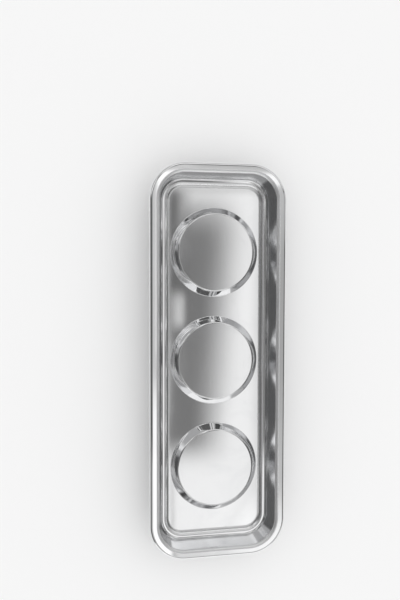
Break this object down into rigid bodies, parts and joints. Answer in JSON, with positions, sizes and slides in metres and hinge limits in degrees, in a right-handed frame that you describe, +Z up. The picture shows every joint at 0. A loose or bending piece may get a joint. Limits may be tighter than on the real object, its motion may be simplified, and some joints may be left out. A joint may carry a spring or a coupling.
{
  "type": "magnetic parts tray",
  "caption": "Long shallow steel tray with a rolled rim, rounded corners and a row of raised round bosses, held down by rubber-covered pot magnets under the floor.",
  "frame": {"origin": "on the surface the tray stands on, under the middle of the tray", "axes": "+X across the tray, +Y along the row of bosses, +Z up out of the tray"},
  "size_m": [0.0774, 0.22, 0.021],
  "materials": {
    "tray_steel": "polished rim and boss sides, satin walls, floor and boss tops",
    "zinc_steel": "bright zinc plate",
    "cup_steel": "dull nickel plate",
    "ring_plastic": "moulded",
    "ferrite": "ground, dull",
    "boot_rubber": "moulded, matt"
  },
  "bodies": {
    "root": {"tray_shell": "tray_steel", "weld_stud_1": "zinc_steel", "weld_stud_2": "zinc_steel", "weld_stud_3": "zinc_steel", "magnet_cup_1": "cup_steel", "magnet_cup_2": "cup_steel", "magnet_cup_3": "cup_steel", "gap_ring_1": "ring_plastic", "gap_ring_2": "ring_plastic", "gap_ring_3": "ring_plastic", "ring_magnet_1": "ferrite", "ring_magnet_2": "ferrite", "ring_magnet_3": "ferrite", "washer_1": "zinc_steel", "washer_2": "zinc_steel", "washer_3": "zinc_steel", "lock_nut_1": "zinc_steel", "lock_nut_2": "zinc_steel", "lock_nut_3": "zinc_steel", "rubber_boot_1": "boot_rubber", "rubber_boot_2": "boot_rubber", "rubber_boot_3": "boot_rubber"}
  },
  "joints": []
}
